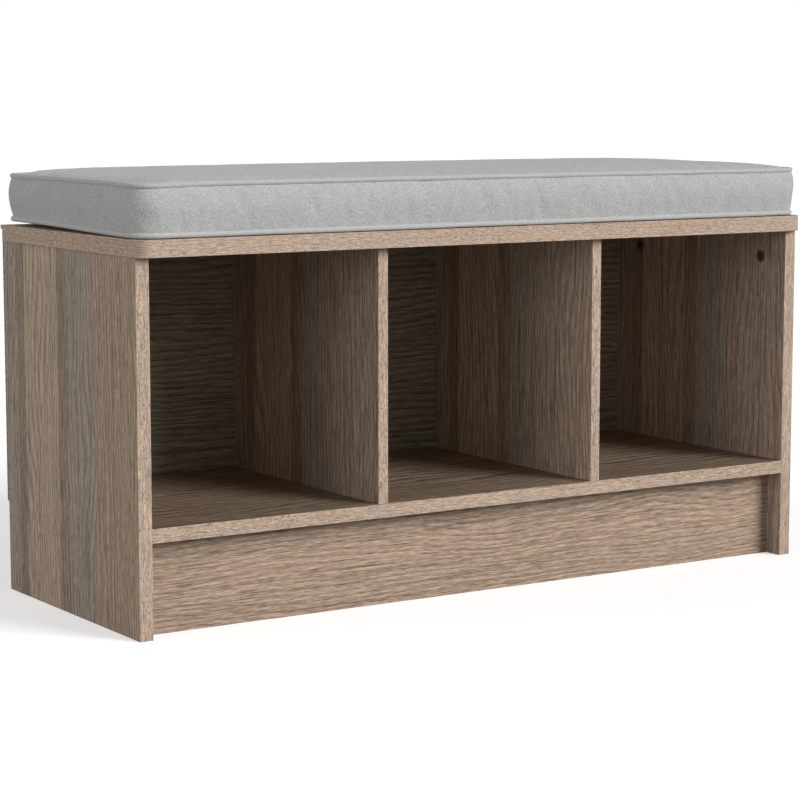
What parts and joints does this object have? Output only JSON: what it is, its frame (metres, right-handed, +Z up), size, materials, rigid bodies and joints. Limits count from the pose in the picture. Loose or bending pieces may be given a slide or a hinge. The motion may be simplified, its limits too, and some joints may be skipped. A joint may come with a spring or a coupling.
{
  "type": "entryway bench",
  "caption": "Wood-grain storage bench with open cubbies, a plinth and a piped fabric box cushion on top.",
  "frame": {"origin": "on the floor under the middle of the top board, centred on its width and depth", "axes": "+X to the right as seen from the front, +Y to the back, +Z up; the open cubbies face -Y"},
  "size_m": [0.884, 0.338, 0.4773],
  "materials": {
    "wood_laminate": "matt printed wood-grain laminate over particle board",
    "edge_band": "matt wood-grain edge banding",
    "back_laminate": "matt wood-grain print on thin hardboard",
    "zinc": "die-cast zinc, dull",
    "zinc_bolt": "zinc-plated steel",
    "beech": "raw fluted beech",
    "nail": "bright wire nail",
    "hook_tape": "moulded hook tape",
    "loop_tape": "brushed loop tape",
    "foam": "open-cell polyurethane foam",
    "cover_fabric": "light grey brushed woven polyester",
    "welt_fabric": "light grey brushed woven polyester, sewn round a cord"
  },
  "bodies": {
    "bench": {"top_board": "wood_laminate", "top_edge_band": "edge_band", "left_side_panel": "wood_laminate", "right_side_panel": "wood_laminate", "left_side_edge_band": "edge_band", "right_side_edge_band": "edge_band", "bottom_shelf": "wood_laminate", "shelf_edge_band": "edge_band", "left_divider": "wood_laminate", "right_divider": "wood_laminate", "left_divider_edge_band": "edge_band", "right_divider_edge_band": "edge_band", "kick_board": "wood_laminate", "back_panel": "back_laminate", "top_cam_locks": "zinc", "top_cam_bolts": "zinc_bolt", "shelf_cam_locks": "zinc", "shelf_cam_bolts": "zinc_bolt", "kick_cam_locks": "zinc", "kick_cam_bolts": "zinc_bolt", "carcass_dowels": "beech", "divider_dowels": "beech", "divider_screws": "zinc_bolt", "back_nails": "nail", "hook_patches": "hook_tape"},
    "cushion": {"loop_patches": "loop_tape", "foam_core": "foam", "cover_top": "cover_fabric", "cover_boxing": "cover_fabric", "cover_bottom": "cover_fabric", "top_welt": "welt_fabric", "bottom_welt": "welt_fabric"}
  },
  "joints": [
    {"name": "cushion_lift", "type": "slide", "parent": "bench", "child": "cushion", "axis": [0, 0, 1], "range_m": [0, 0.12]}
  ]
}
